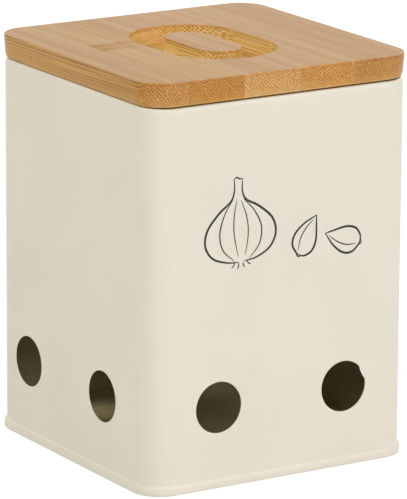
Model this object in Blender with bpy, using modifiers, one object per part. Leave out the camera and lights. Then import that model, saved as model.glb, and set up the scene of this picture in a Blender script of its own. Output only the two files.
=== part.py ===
"""A garlic keeper: a square steel tin with vents, and a laminated bamboo lid with a sunk grip.

Metres, +Z up. The origin is at the centre of the tin's foot, the front looks along -Y and +X is its right.
Every section below is drawn from the tin's outer wall or the lid's widest outline: X runs outward from
there, and Z is the height.
"""

import math

import bmesh
import bpy

MM = 0.001
TURN = 2 * math.pi

# Tin
TIN_WIDTH = 118 * MM
TIN_HEIGHT = 150.4 * MM
TIN_CORNER = 11 * MM
SHEET = 0.25 * MM
CURL_WIDTH = 2.2 * MM
CURL_TURN_SHARE = 0.78

# Double seam at the foot
BEAD_HEIGHT = 3.9 * MM
BEAD_BULGE = 0.2 * MM
SEAM_CLEARANCE = 0.05 * MM
HOOK_CLEARANCE = 0.5 * MM
FOOT_BEND = 0.4 * MM
PANEL_HEIGHT = 6.7 * MM
PANEL_BEND = 1.2 * MM

# Folded side seam on the back
SIDE_SEAM_WIDTH = 5 * MM
SIDE_SEAM_RISE = 0.35 * MM
SIDE_SEAM_SINK = 0.1 * MM
SIDE_SEAM_END_GAP = 0.5 * MM

# Vents
VENT_WIDTH = 20.2 * MM
VENT_HEIGHT = 31.8 * MM
VENT_SPACING = 56.8 * MM
SIDE_VENT_SHIFT = 5.0 * MM

# Lid board
LID_OVERHANG = 0.6 * MM
LID_THICKNESS = 9.5 * MM
LID_CORNER_GROWTH = 1.0 * MM
LID_LEAN = 0.5 * MM
LID_EDGE_ROUND = 0.6 * MM
LID_FOOT_WIDTH = 1.1 * MM
LID_FOOT_HEIGHT = 2.2 * MM
LID_SEAT_GAP = 0.3 * MM
LID_JOINT_SHARES = (-0.72, -0.304, 0.115, 0.531)
PALE_STRIP = 3
GLUE_LINE = 0.1 * MM

# Grip
GRIP_WIDTH = 18.3 * MM
GRIP_STRAIGHT = 22.4 * MM
GROOVE_WIDTH = 13.8 * MM
GROOVE_DEPTH = 6.8 * MM

# Plug board and seal under the lid
PLUG_THICKNESS = 6.0 * MM
PLUG_CLEARANCE = 1.0 * MM
PLUG_EDGE_ROUND = 0.8 * MM
PLUG_STRIPS = 5
SEAL_WIDTH = 2.6 * MM
SEAL_DEPTH = 1.8 * MM
SEAL_CLEARANCE = 0.1 * MM
SEAL_ABOVE = 1.7 * MM
FIN_THICKNESS = 0.6 * MM
FIN_SWEEP = 0.5 * MM
FIN_CLEARANCE = 0.3 * MM

# Every cut runs past its wall by this much
OVERRUN = 2 * MM

# Fineness of the round stretches
CORNER_STEPS = 7
BEND_STEPS = 4
HOOK_STEPS = 6
CURL_STEPS = 12
BULGE_STEPS = 4
VENT_SIDES = 40
GRIP_END_STEPS = 20

# Worked out from the sizes above
LAYER_PITCH = SHEET + SEAM_CLEARANCE
RIM_OPENING = TIN_WIDTH - 2 * CURL_WIDTH
SEAT_HEIGHT = TIN_HEIGHT + LID_SEAT_GAP
LID_WIDTH = TIN_WIDTH + 2 * LID_OVERHANG
LID_CORNER = TIN_CORNER + LID_CORNER_GROWTH
PLUG_WIDTH = RIM_OPENING - 2 * PLUG_CLEARANCE
PLUG_CORNER = TIN_CORNER - CURL_WIDTH - PLUG_CLEARANCE
BODY_HOOK_CENTRE = SHEET / 2 + 2 * LAYER_PITCH
BASE_HOOK_CENTRE = BEAD_HEIGHT - SHEET / 2 - LAYER_PITCH

# Colours: linear red, green, blue, then roughness and metallic
CREAM = ((0.80, 0.75, 0.63), 0.45, 0.0)
BAMBOO = ((0.56, 0.36, 0.18), 0.5, 0.0)
PALE_BAMBOO = ((0.64, 0.43, 0.22), 0.5, 0.0)
SILICONE = ((0.80, 0.80, 0.77), 0.35, 0.0)


def clear_scene():
    for obj in list(bpy.data.objects):
        bpy.data.objects.remove(obj)


def new_collection(name):
    collection = bpy.data.collections.new(name)
    bpy.context.scene.collection.children.link(collection)
    return collection


def new_material(name, look):
    colour, roughness, metallic = look
    material = bpy.data.materials.new(name)
    material.use_nodes = True
    shader = material.node_tree.nodes["Principled BSDF"]
    shader.inputs["Base Color"].default_value = (*colour, 1)
    shader.inputs["Roughness"].default_value = roughness
    shader.inputs["Metallic"].default_value = metallic
    return material


def arc(centre, radius, start, sweep, steps):
    """Points round a centre, from the start angle through the sweep, both ends included."""
    angles = [start + sweep * step / steps for step in range(steps + 1)]
    return [(centre[0] + radius * math.cos(a), centre[1] + radius * math.sin(a)) for a in angles]


def rounded_square(width, corner):
    """A square outline with round corners, clockwise from above."""
    middle = width / 2 - corner
    points = []
    for quarter, (side_x, side_y) in enumerate(((1, 1), (1, -1), (-1, -1), (-1, 1))):
        centre = (side_x * middle, side_y * middle)
        start = TURN / 4 * (1 - quarter)
        points += arc(centre, corner, start, -TURN / 4, CORNER_STEPS)
    return points


def stadium(width, straight):
    """Two half circles joined by straight sides along Y, clockwise from above."""
    far = arc((0, straight / 2), width / 2, TURN / 2, -TURN / 2, GRIP_END_STEPS)
    near = arc((0, -straight / 2), width / 2, 0, -TURN / 2, GRIP_END_STEPS)
    return far + near


def line_curve(name, points, closed, flat):
    curve = bpy.data.curves.new(name, "CURVE")
    curve.dimensions = "2D" if flat else "3D"
    curve.fill_mode = "NONE" if flat else "FULL"
    spline = curve.splines.new("POLY")
    spline.points.add(len(points) - 1)
    for point, (x, y) in zip(spline.points, points):
        point.co = (x, y, 0, 1)
    spline.use_cyclic_u = closed
    obj = bpy.data.objects.new(name, curve)
    bpy.context.scene.collection.objects.link(obj)
    return obj


def swept(name, path_points, section_points, collection, closed=False):
    """Carries a section of (outward, up) points along a closed level path, with exact corners."""
    path = line_curve(name + "_path", path_points, True, True)
    inward_points = [(-outward, up) for outward, up in section_points]
    section = line_curve(name + "_section", inward_points, closed, False)
    path.data.bevel_mode = "OBJECT"
    path.data.bevel_object = section
    bpy.context.view_layer.update()
    evaluated = path.evaluated_get(bpy.context.evaluated_depsgraph_get())
    mesh = bpy.data.meshes.new_from_object(evaluated)
    mesh.name = name
    bpy.data.objects.remove(path)
    bpy.data.objects.remove(section)
    obj = bpy.data.objects.new(name, mesh)
    collection.objects.link(obj)
    return obj


def face_outward(obj, fill_above=math.inf):
    """Closes each open rim above a height with one flat face, then turns every face outward."""
    mesh = bmesh.new()
    mesh.from_mesh(obj.data)
    edges = [edge for edge in mesh.edges if edge.is_boundary]
    rims = [edge for edge in edges if min(vert.co.z for vert in edge.verts) > fill_above]
    if rims:
        bmesh.ops.holes_fill(mesh, edges=rims, sides=0)
    bmesh.ops.recalc_face_normals(mesh, faces=mesh.faces)
    mesh.to_mesh(obj.data)
    mesh.free()


def finish(obj, material):
    obj.data.materials.clear()
    obj.data.materials.append(material)
    obj.data.shade_smooth()
    obj.data.set_sharp_from_angle(angle=TURN / 10)
    return obj


def as_tool(obj):
    obj.hide_render = True
    obj.display_type = "WIRE"
    return obj


def box_tool(name, low, high, collection):
    """A box between two corners, kept as a cutter."""
    bpy.ops.mesh.primitive_cube_add(size=1)
    obj = bpy.context.active_object
    obj.name = name
    for part in obj.users_collection:
        part.objects.unlink(obj)
    collection.objects.link(obj)
    for vert in obj.data.vertices:
        vert.co = [b if c > 0 else a for a, b, c in zip(low, high, vert.co)]
    return as_tool(obj)


def boolean(obj, operation, tool):
    step = obj.modifiers.new(operation.lower() + "_" + tool.name, "BOOLEAN")
    step.operation = operation
    step.solver = "EXACT"
    step.object = tool


def sheet_metal(obj):
    """Gives a surface the sheet's thickness, half on each side."""
    step = obj.modifiers.new("sheet", "SOLIDIFY")
    step.thickness = SHEET
    step.offset = 0
    step.use_even_offset = True
    step.use_quality_normals = True


def body_section():
    """The sleeve's sheet, from the tip of its foot hook round and up the wall to the end of the curl."""
    wall = -SHEET / 2
    hook_tip = (wall + 2 * LAYER_PITCH, BEAD_HEIGHT - SHEET - HOOK_CLEARANCE)
    foot = arc((wall + LAYER_PITCH, BODY_HOOK_CENTRE), LAYER_PITCH, 0, -TURN / 2, HOOK_STEPS)
    curl_centre = (-CURL_WIDTH / 2, TIN_HEIGHT - CURL_WIDTH / 2)
    curl_radius = (CURL_WIDTH - SHEET) / 2
    curl = arc(curl_centre, curl_radius, 0, TURN * CURL_TURN_SHARE, CURL_STEPS)
    return [hook_tip] + foot + curl


def bulge(outer, foot, top):
    """Points up the bead's outer layer, between its two bends, on a shallow curve that swells outward."""
    shares = [step / BULGE_STEPS for step in range(1, BULGE_STEPS)]
    swell = [BEAD_BULGE * (1 - (2 * share - 1) ** 2) for share in shares]
    return [(outer + out, foot + (top - foot) * share) for out, share in zip(swell, shares)]


def base_section():
    """The bottom's sheet, from the panel down inside the wall, under the foot and up over the hook."""
    inner = -SHEET / 2 - LAYER_PITCH
    outer = inner + 4 * LAYER_PITCH
    under = SHEET / 2 + FOOT_BEND
    panel_centre = (inner - PANEL_BEND, PANEL_HEIGHT - PANEL_BEND)
    panel = arc(panel_centre, PANEL_BEND, TURN / 4, -TURN / 4, BEND_STEPS)
    near = arc((inner + FOOT_BEND, under), FOOT_BEND, TURN / 2, TURN / 4, BEND_STEPS)
    far = arc((outer - FOOT_BEND, under), FOOT_BEND, -TURN / 4, TURN / 4, BEND_STEPS)
    hook = arc((outer - LAYER_PITCH, BASE_HOOK_CENTRE), LAYER_PITCH, 0, TURN / 2, HOOK_STEPS)
    hook_foot = BODY_HOOK_CENTRE - LAYER_PITCH + SHEET / 2 + HOOK_CLEARANCE
    side = bulge(outer, under, BASE_HOOK_CENTRE)
    return panel + near + far + side + hook + [(outer - 2 * LAYER_PITCH, hook_foot)]


def vent_tools(collection):
    """One round cutter through the wall for each vent: a pair to a wall, the side pairs moved along."""
    wall_middle = TIN_WIDTH / 2 - SHEET / 2
    tools = []
    for wall in range(4):
        shift = SIDE_VENT_SHIFT if wall % 2 else 0
        for side in (-1, 1):
            along = side * VENT_SPACING / 2 - shift
            bpy.ops.mesh.primitive_cylinder_add(
                vertices=VENT_SIDES,
                radius=VENT_WIDTH / 2,
                depth=SHEET + 2 * OVERRUN,
                location=(along, -wall_middle, VENT_HEIGHT),
                rotation=(TURN / 4, 0, 0),
            )
            tool = bpy.context.active_object
            tool.name = f"vent_tool_{wall}_{1 if side < 0 else 2}"
            for part in tool.users_collection:
                part.objects.unlink(tool)
            collection.objects.link(tool)
            pivot = bpy.data.objects.new(tool.name + "_wall", None)
            collection.objects.link(pivot)
            tool.parent = pivot
            pivot.rotation_euler = (0, 0, TURN / 4 * wall)
            tools.append(as_tool(tool))
    return tools


def make_tin(parts, tools):
    """The sleeve with its vents and side seam, and the bottom that is folded round its foot."""
    outline = rounded_square(TIN_WIDTH, TIN_CORNER)
    body = swept("tin_body", outline, body_section(), parts)
    sheet_metal(body)
    half_seam = SIDE_SEAM_WIDTH / 2
    wall = TIN_WIDTH / 2
    low = (-half_seam, wall - SIDE_SEAM_SINK, BEAD_HEIGHT + SIDE_SEAM_END_GAP)
    high = (half_seam, wall + SIDE_SEAM_RISE, TIN_HEIGHT - CURL_WIDTH - SIDE_SEAM_END_GAP)
    boolean(body, "UNION", box_tool("side_seam_tool", low, high, tools))
    for tool in vent_tools(tools):
        boolean(body, "DIFFERENCE", tool)
    finish(body, new_material("cream_body", CREAM))

    base = swept("tin_base", outline, base_section(), parts)
    face_outward(base, fill_above=PANEL_HEIGHT - SHEET)
    sheet_metal(base)
    finish(base, new_material("cream_base", CREAM))


def lid_section():
    """The lid's edge, from its top face down the leaning side and in round its lower edge."""
    centre = (-LID_EDGE_ROUND, LID_THICKNESS - LID_EDGE_ROUND)
    edge = arc(centre, LID_EDGE_ROUND, TURN / 4, -TURN / 4, BEND_STEPS)
    turn = arc((0, 0), 1, 0, -TURN / 4, BEND_STEPS)
    foot = [
        (-LID_LEAN - LID_FOOT_WIDTH * (1 - across), LID_FOOT_HEIGHT * (1 + down))
        for across, down in turn
    ]
    return edge + foot


def plug_section():
    """The plug board's edge from its top face past the seal's groove to its softened lower edge."""
    top = -GLUE_LINE
    groove_top = -SEAL_ABOVE
    groove_foot = groove_top - SEAL_WIDTH
    foot_centre = (-PLUG_EDGE_ROUND, -PLUG_THICKNESS + PLUG_EDGE_ROUND)
    foot = arc(foot_centre, PLUG_EDGE_ROUND, 0, -TURN / 4, BEND_STEPS)
    groove = [(0, groove_top), (-SEAL_DEPTH, groove_top), (-SEAL_DEPTH, groove_foot), (0, groove_foot)]
    return [(0, top)] + groove + foot


def seal_section():
    """The seal's flat band in the groove, with two thin fins that reach out and sweep upward."""
    inner = -SEAL_DEPTH + SEAL_CLEARANCE
    tip = PLUG_CLEARANCE - FIN_CLEARANCE
    top = -SEAL_ABOVE - SEAL_CLEARANCE
    foot = -SEAL_ABOVE - SEAL_WIDTH + SEAL_CLEARANCE
    points = [(inner, top)]
    for root in (top, foot + FIN_THICKNESS):
        points += [(0, root), (tip, root + FIN_SWEEP), (tip, root + FIN_SWEEP - FIN_THICKNESS)]
        points += [(0, root - FIN_THICKNESS)]
    return points + [(inner, foot)]


def groove_tool(collection):
    """The sunk ring round the grip: one slot of constant width along a round-ended path."""
    half = GROOVE_WIDTH / 2
    floor = LID_THICKNESS - GROOVE_DEPTH
    above = LID_THICKNESS + OVERRUN
    section = [(-half, floor), (half, floor), (half, above), (-half, above)]
    path = stadium(GRIP_WIDTH + GROOVE_WIDTH, GRIP_STRAIGHT)
    tool = swept("groove_tool", path, section, collection, closed=True)
    face_outward(tool)
    return as_tool(tool)


def make_lid(parts, tools):
    """Five glued strips with the grip, five crossing strips below them and the seal, all on one empty."""
    lift = bpy.data.objects.new("lid_lift_axis", None)
    lift.location = (0, 0, SEAT_HEIGHT)
    parts.objects.link(lift)

    groove = groove_tool(tools)
    groove.parent = lift
    outline = rounded_square(LID_WIDTH, LID_CORNER)
    half = LID_WIDTH / 2
    past = half + OVERRUN
    joints = [share * half for share in LID_JOINT_SHARES]
    lefts = [-past] + [joint + GLUE_LINE / 2 for joint in joints]
    rights = [joint - GLUE_LINE / 2 for joint in joints] + [past]
    for number, (left, right) in enumerate(zip(lefts, rights), start=1):
        strip = swept(f"lid_strip_{number}", outline, lid_section(), parts)
        face_outward(strip, fill_above=-OVERRUN)
        strip.parent = lift
        low = (left, -past, -OVERRUN)
        high = (right, past, LID_THICKNESS + OVERRUN)
        block = box_tool(f"lid_block_{number}", low, high, tools)
        block.parent = lift
        boolean(strip, "INTERSECT", block)
        boolean(strip, "DIFFERENCE", groove)
        look = PALE_BAMBOO if number == PALE_STRIP else BAMBOO
        finish(strip, new_material(f"bamboo_lid_{number}", look))

    plug_outline = rounded_square(PLUG_WIDTH, PLUG_CORNER)
    plug_past = PLUG_WIDTH / 2 + OVERRUN
    pitch = PLUG_WIDTH / PLUG_STRIPS
    for number in range(1, PLUG_STRIPS + 1):
        near = -PLUG_WIDTH / 2 + pitch * (number - 1)
        near_cut = -plug_past if number == 1 else near + GLUE_LINE / 2
        far_cut = plug_past if number == PLUG_STRIPS else near + pitch - GLUE_LINE / 2
        strip = swept(f"plug_strip_{number}", plug_outline, plug_section(), parts)
        face_outward(strip, fill_above=-PLUG_THICKNESS - OVERRUN)
        strip.parent = lift
        low = (-plug_past, near_cut, -PLUG_THICKNESS - OVERRUN)
        high = (plug_past, far_cut, OVERRUN)
        block = box_tool(f"plug_block_{number}", low, high, tools)
        block.parent = lift
        boolean(strip, "INTERSECT", block)
        finish(strip, new_material(f"bamboo_plug_{number}", BAMBOO))

    seal = swept("seal_ring", plug_outline, seal_section(), parts, closed=True)
    face_outward(seal)
    seal.parent = lift
    finish(seal, new_material("silicone_seal", SILICONE))


def main():
    clear_scene()
    parts = new_collection("garlic_keeper")
    tools = new_collection("cutters")
    tools.hide_render = True
    make_tin(parts, tools)
    make_lid(parts, tools)


main()
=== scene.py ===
"""Dresses the garlic keeper: thin coated sheet, a laminated bamboo lid with plug board and seal, soft light.

Metres, +Z up. The tin's front looks along -Y and +X is its right. Every piece is worked out as whole arrays:
a section of (outward, height) points carried along a closed level path, or closed rings joined one to the
next.
"""

import math
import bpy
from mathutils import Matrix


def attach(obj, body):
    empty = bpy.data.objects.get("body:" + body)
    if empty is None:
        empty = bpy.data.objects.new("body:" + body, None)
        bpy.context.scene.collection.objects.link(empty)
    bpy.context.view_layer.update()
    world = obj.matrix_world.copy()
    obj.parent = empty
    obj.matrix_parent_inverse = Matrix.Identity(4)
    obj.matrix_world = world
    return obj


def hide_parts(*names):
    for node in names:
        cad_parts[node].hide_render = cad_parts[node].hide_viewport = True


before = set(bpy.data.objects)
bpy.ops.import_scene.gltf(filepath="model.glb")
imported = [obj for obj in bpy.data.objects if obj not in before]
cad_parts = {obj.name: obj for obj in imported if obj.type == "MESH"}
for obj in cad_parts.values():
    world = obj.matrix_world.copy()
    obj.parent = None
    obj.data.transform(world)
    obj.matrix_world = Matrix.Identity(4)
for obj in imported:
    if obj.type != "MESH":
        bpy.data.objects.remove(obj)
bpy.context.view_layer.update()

from types import SimpleNamespace

import bmesh
import bpy
import numpy as np
from mathutils import Matrix, Vector

MM = 0.001
TURN = 2 * math.pi

# Tin
TIN_WIDTH = 118 * MM
TIN_HEIGHT = 150.4 * MM
TIN_CORNER = 11 * MM
SHEET = 0.25 * MM
CURL_WIDTH = 2.2 * MM
CURL_TURN_SHARE = 0.78
CURL_STEPS = 28
RIM_DIP = 0.35 * MM
RIM_LEAN = 0.2 * MM
RIM_LEAN_TURN = math.radians(12)
RIM_LEAN_STEPS = 8

# Double seam at the foot
BEAD_HEIGHT = 3.9 * MM
BEAD_BULGE = 0.2 * MM
BEAD_BELLY_SHARE = 0.36
BEAD_RETREAT = 0.3 * MM
LAYER_GAP = 0.05 * MM
LAYER_PITCH = SHEET + LAYER_GAP
HOOK_CLEARANCE = 0.5 * MM
FOOT_BEND = 0.4 * MM
PANEL_HEIGHT = 6.7 * MM
PANEL_BEND = 1.2 * MM
SHOULDER_BEND = 1.1 * MM
SHOULDER_DROP = 0.7 * MM
FILLET_BEND = 0.3 * MM
FILLET_SINK = 0.005 * MM

# Folded side seam on the back
SIDE_SEAM_WIDTH = 5 * MM
SIDE_SEAM_RISE = 0.3 * MM
SIDE_SEAM_END_GAP = 0.5 * MM
SIDE_SEAM_SINK = 0.02 * MM
SIDE_SEAM_BASE = 0.04 * MM

# Vents: each one's room makes up for the sheet that thickens inward round its rolled edge
VENT_RADIUS = 10.1 * MM
VENT_HEIGHT = 31.8 * MM
VENT_SPACING = 56.8 * MM
SIDE_VENT_SHIFT = 5.0 * MM
VENT_PATCH = 13 * MM
VENT_ROOM = 0.08 * MM
VENT_ROLL = 0.22 * MM
VENT_ROLL_DEPTH = 0.14 * MM

# Lid board
LID_OVERHANG = 0.6 * MM
LID_WIDTH = TIN_WIDTH + 2 * LID_OVERHANG
LID_THICKNESS = 9.5 * MM
LID_CORNER = 12 * MM
LID_LEAN = 0.5 * MM
LID_EDGE_ROUND = 0.6 * MM
LID_FOOT_WIDTH = 1.1 * MM
LID_FOOT_HEIGHT = 2.2 * MM
LID_SEAT_GAP = 0.3 * MM
LID_JOINT_SHARES = (-0.72, -0.304, 0.115, 0.531)
JOINT_GAP = 0.02 * MM

# Grip
GRIP_WIDTH = 18.3 * MM
GRIP_STRAIGHT = 22.4 * MM
GROOVE_WIDTH = 13.8 * MM
GROOVE_DEPTH = 6.8 * MM
RIM_ROUND = 0.2 * MM
GROOVE_FILLET = 0.5 * MM

# Plug board and seal
PLUG_THICKNESS = 6.0 * MM
PLUG_CLEARANCE = 1.0 * MM
PLUG_EDGE_ROUND = 0.8 * MM
PLUG_CHAMFER = 0.2 * MM
PLUG_STRIPS = 5
GLUE_LINE = 0.1 * MM
SEAL_WIDTH = 2.6 * MM
SEAL_DEPTH = 1.8 * MM
SEAL_CLEARANCE = 0.1 * MM
SEAL_ABOVE = 1.7 * MM
FIN_THICKNESS = 0.6 * MM
FIN_SWEEP = 0.5 * MM
FIN_CLEARANCE = 0.3 * MM

# Worked out from the sizes above
SEAT_HEIGHT = TIN_HEIGHT + LID_SEAT_GAP
LID_TOP = SEAT_HEIGHT + LID_THICKNESS
PLUG_WIDTH = TIN_WIDTH - 2 * CURL_WIDTH - 2 * PLUG_CLEARANCE
PLUG_CORNER = TIN_CORNER - CURL_WIDTH - PLUG_CLEARANCE

# Cream coat: colours, and how many times a metre each pattern repeats
CREAM = (0.77, 0.719, 0.61)
# The inside coat is the cream made darker and more golden: painted shade for the dim inside of the tin.
INNER_CREAM_PAINTED_SHADE = (0.57, 0.485, 0.27)
OUTER_ROUGHNESS = 0.42
INNER_ROUGHNESS = 0.6
OUTER_GLOSS = 1.42
INNER_GLOSS = 1.2
CLOUD_RATE = 28
CLOUD_SHADE = 0.965
POWDER_RATE = 1900
POWDER_SHADE = 0.8
POWDER_SPECKS = 0.05
POWDER_ROUGHNESS = 0.04
WAVE_RATE = 45
WAVE_DEPTH = 0.04 * MM
PEEL_RATE = 900
PEEL_DEPTH = 0.006 * MM

# Silicone and ink
SILICONE_GLOSS = 1.41
SILICONE_DEPTH = 2 * MM
SILICONE_ROUGHNESS = (0.36, 0.48)
SILICONE_DULL = (0.74, 0.74, 0.71, 1)
SILICONE_PALE = (0.82, 0.82, 0.79, 1)
DUST_RATE = 700
DUST_DEPTH = 0.02 * MM
INK_GLOSS = 1.45
INK_ROUGHNESS = (0.45, 0.6)
INK_BLACK = (0.006, 0.008, 0.008, 1)
INK_WORN = (0.02, 0.024, 0.024, 1)
WEAR_RATE = 1400
WEAR_WINDOW = (0.3, 0.75)

# Bamboo surface
BAMBOO_GLOSS = 1.45
BAMBOO_ROUGHNESS = (0.40, 0.34)
GRAIN_DEPTH = 0.015 * MM
BUNDLE_DEPTH = 0.02 * MM

# Bamboo patterns: how many times a metre each repeats across, along and up the strip, and how far it moves
STRIP_SHIFT = (0.137, 0.311, 0.053)
FIBRE_TILT = 0.02
FIBRE_TILT_STEP = 2.4
WANDER_RATES = (30, 18, 60)
WANDER_REACH = (1.6 * MM, 0, 1.0 * MM)
STREAK_RATES = (260, 7, 260)
FINE_RATES = (1500, 22, 1500)
THREAD_RATES = (520, 11, 900)
NICK_RATES = (700, 700, 700)
RIPPLE_RATES = (150, 60, 150)
RIPPLE_REACH = 6 * MM
MOTTLE_RATES = (420, 420, 420)
MOTTLE_LOW = 0.55

# Fibre bundles: their grid, and the share of them that shows on each face
BUNDLE_PITCH = 0.94 * MM
BUNDLE_SCATTER = 0.34
BUNDLE_EDGE = (0.46, 0.16)
ROW_LEAN = 1.5
ROW_LEAN_RATES = (50, 0, 0)
ROW_SWIRL = 1.7 * MM
SWIRL_RATES = (210, 0, 210)
END_BUNDLES = 1.0
SIDE_BUNDLES = 0.65
TOP_BUNDLES = 0.25
LOW_BUNDLES = 0.4
MILLED_BUNDLES = 0.1
BARE_WALL_SHARE = 0.93
BARE_WALL_LEFT = (-6 * MM, 2 * MM)
BARE_WALL_BACK = (0, 8 * MM)

# Streaks, threads and the sawn ends: gains on red, green and blue of the ground, and shares
STREAK_PALE = (1.10, 1.20, 1.55)
STREAK_DEEP = (0.90, 0.80, 0.55)
FINE_SHARE = 0.35
THREAD_GAINS = (0.75, 0.57, 0.2)
THREAD_SHARE = 0.85
THREAD_TOP = 0.4
THREAD_MILLED = 0.7
THREAD_LOW = 0.35
FRAY_SHARE = 0.6
TOP_CALM = 0.55
END_PALE = (1.05, 1.08, 1.2)
END_DEEP = (0.95, 0.92, 0.8)
# The milled ring's colours are fresh cut wood made paler still: painted light in the sunk ring.
MILLED_LONG_FRESH_AND_LIT = (0.84, 0.65, 0.27)
MILLED_END_FRESH_AND_LIT = (0.735, 0.475, 0.147)
MILLED_MARGIN = 1 * MM
MILLED_FADE = 0.5 * MM

# Bands of height where a finish fades in or out, as two depths under the lid's top
SANDED_BAND = (0.9 * MM, 0.4 * MM)
EDGE_HEAD = (0.35 * MM, 0.15 * MM)
EDGE_FOOT = (1.4 * MM, 0.9 * MM)
THREAD_BAND = (6 * MM, 2 * MM)
BARE_WALL_HEAD = (2.4 * MM, 1.4 * MM)
MILLED_HEAD = (0.35 * MM, 0.1 * MM)
MILLED_FOOT = (GROOVE_DEPTH + 0.6 * MM, GROOVE_DEPTH + 0.3 * MM)

# The same, as two heights over the lid's seat
CROWD_BAND = (0.8 * MM, 3.6 * MM)
RUBBED_AND_REFLECTION_HEAD = (0.75 * MM, 0.45 * MM)
RUBBED_AND_REFLECTION_FOOT = (-0.05 * MM, 0.1 * MM)

# Windows over which a pattern fades in: of a noise first, and then of how far a face is turned to its axis
WIDE = (0.2, 0.8)
MIDDLE = (0.3, 0.7)
STREAK_WINDOW = (0.32, 0.68)
FINE_WINDOW = (0.35, 0.75)
THREAD_WINDOW = (0.47, 0.63)
NICK_WINDOW = (0.45, 0.6)
FRAY_WINDOW = (0.35, 0.6)
END_FACING = (0.3, 0.85)
TOP_FACING = (0.5, 0.95)
FLOOR_FACING = (0.5, 0.9)
SIDE_FACING = (0.4, 0.9)
ARRIS_HIGHLIGHT_FACING = (0.55, 0.8)
FLAT_FACING = (0.93, 0.995)

# Tones, each a gain on red, green and blue
BUNDLE_TONE = (0.52, 0.27, 0.02, 1)
EDGE_TONE = (0.88, 0.77, 0.6, 1)
# The arris tone is pale worn nicks with a painted highlight on them.
ARRIS_NICK_AND_HIGHLIGHT_TONE = (1.25, 1.32, 1.6, 1)
# The rubbed tone is wear on the lower edge with a painted reflection of the bright floor on it.
RUBBED_AND_REFLECTION_TONE = (1.4, 1.6, 2.3, 1)
SIDE_TONE = (1.06, 1.12, 0.82, 1)
# The floor tone is painted shade on the sunk ring's floor.
GROOVE_FLOOR_PAINTED_SHADE = (0.80, 0.57, 0.28, 1)

# The cane's old joint: each band's shift, its half width where it starts and where it ends to fade, and its
# strength at the left and at the right
CANE_JOINT_BANDS = ((1.5 * MM, 1.4 * MM, 4.2 * MM, 1.0, 0.55), (-5 * MM, 1.0 * MM, 3.4 * MM, 0.85, 0.25))
CANE_JOINT_FADE = (-36 * MM, -27 * MM)
CANE_JOINT_TONE = (0.84, 0.70, 0.40, 1)
CANE_JOINT_DULL = 0.22
SUNNED_FADE = (6 * MM, -2 * MM)
SUNNED_TONE = (1.03, 1.05, 0.97, 1)

# Hair lines on the top: each one's place across, and its strength at the back and at the front
HAIR_LINES = ((-15.8 * MM, 0.6, 0.2), (4 * MM, 0.0, 0.3))
HAIR_HALF_WIDTHS = (0.15 * MM, 0.45 * MM)
HAIR_FADE = (-12 * MM, 6 * MM)
HAIR_GAINS = (0.62, 0.5, 0.4)

# The little knot on the left edge: the shift and tone of its two spots
KNOT_SPOTS = ((0.9 * MM, (0.72, 0.66, 0.75, 1)), (-0.7 * MM, (1.22, 1.12, 1.5, 1)))
KNOT_SIZE = (0.9 * MM, 0.8 * MM)
KNOT_FADE = (-57 * MM, -58 * MM)
KNOT_SOFTNESS = (0.3, 1.3)
KNOT_SHARE = 0.9

# Lid strips from the left: ground, ground of the sawn end, hair lines, the old joint's place along, and the
# knot's place along and up. The plug board's strips take their grounds from the same list.
LID_STRIPS = (
    ((0.476, 0.243, 0.048), (0.545, 0.279, 0.067), (), None, (29 * MM, 154.6 * MM)),
    ((0.489, 0.252, 0.048), (0.511, 0.238, 0.040), (), 11 * MM, None),
    ((0.498, 0.260, 0.067), (0.645, 0.369, 0.115), HAIR_LINES, None, None),
    ((0.510, 0.270, 0.070), (0.580, 0.299, 0.065), (), None, None),
    ((0.488, 0.255, 0.065), (0.518, 0.255, 0.057), (), None, None),
)
PLUG_SEED = 10

# Fineness: numbers of steps, and rows and rings at their places or shares of the way
CORNER_STEPS = 28
PATCH_STEPS = 18
BOARD_POINTS = 480
BEND_STEPS = 8
BEAD_STEPS = 20
SHOULDER_STEPS = 10
ROUND_STEPS = 4
STROKE_STEPS = 14
SIDE_SEAM_STEPS = (24, 60)
LOW_ROW = 8 * MM
UPPER_ROWS = (60 * MM, 144 * MM, 8)
WALL_STOPS = np.linspace(-40 * MM, 40 * MM, 5)
VENT_SHARES = (0.3, 0.6, 0.82, 0.94, 1.0)
PANEL_SHARES = (0.0, 0.25, 0.5, 0.75, 0.92)
UNDER_SHARES = (0.0, 0.35, 0.7, 0.98)
FACE_SHARES = (0.02, 0.25, 0.5, 0.75, 0.98)
GRIP_SHARES = (0.97, 0.6, 0.3, 0.0)
SHEET_MERGE = 0.0005 * MM
BOARD_MERGE = 0.002 * MM
CUT_TOLERANCE = 1e-8

# Floor, camera and light
FLOOR_HALF = 6.0
FLOOR_GREY = (0.86, 0.86, 0.86, 1)
FLOOR_LIT = (0.30, 0.30, 0.30, 1)
FLOOR_GLOW_REACH = (0.45, 1.3)
FLOOR_GLOW = (0.78, 0.93)
WHITE = (1, 1, 1, 1)
WORLD_LEVEL = 0.36
CAMERA_PLACE = (-0.871376, -1.401945, 0.503107)
CAMERA_YAW = math.radians(31.893)
CAMERA_PITCH = math.radians(14.475)
CAMERA_ROLL = math.radians(0.342)
CAMERA_LENS = 313.85
CAMERA_SENSOR = 36
CAMERA_REACH = 50
LAMP_DISTANCE = 2.6
LAMP_AIM = (0, 0, 0.06)

# Each lamp's name, azimuth and elevation in degrees, size, share of full light, and colour
LAMPS = (
    ("left lamp", -93, 39, 0.6, 0.226, (1.0, 0.945, 0.8)),
    ("front left lamp", -40, 36, 1.2, 0.245, (1.0, 1.0, 1.0)),
    ("front right lamp", 30, 25, 1.4, 0.418, (1.0, 1.0, 1.02)),
    ("back lamp", 185, 42, 1.2, 0.12, (1.0, 1.0, 1.0)),
    ("back right lamp", 120, 27, 1.0, 0.125, (1.0, 1.0, 1.0)),
)


def arc(centre, radius, start, sweep, steps):
    """Points centre + radius * (cos a, sin a), for even steps of a from start through the sweep."""
    angles = start + sweep * np.linspace(0, 1, steps + 1)
    return np.stack([centre[0] + radius * np.cos(angles), centre[1] + radius * np.sin(angles)], axis=1)


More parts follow.
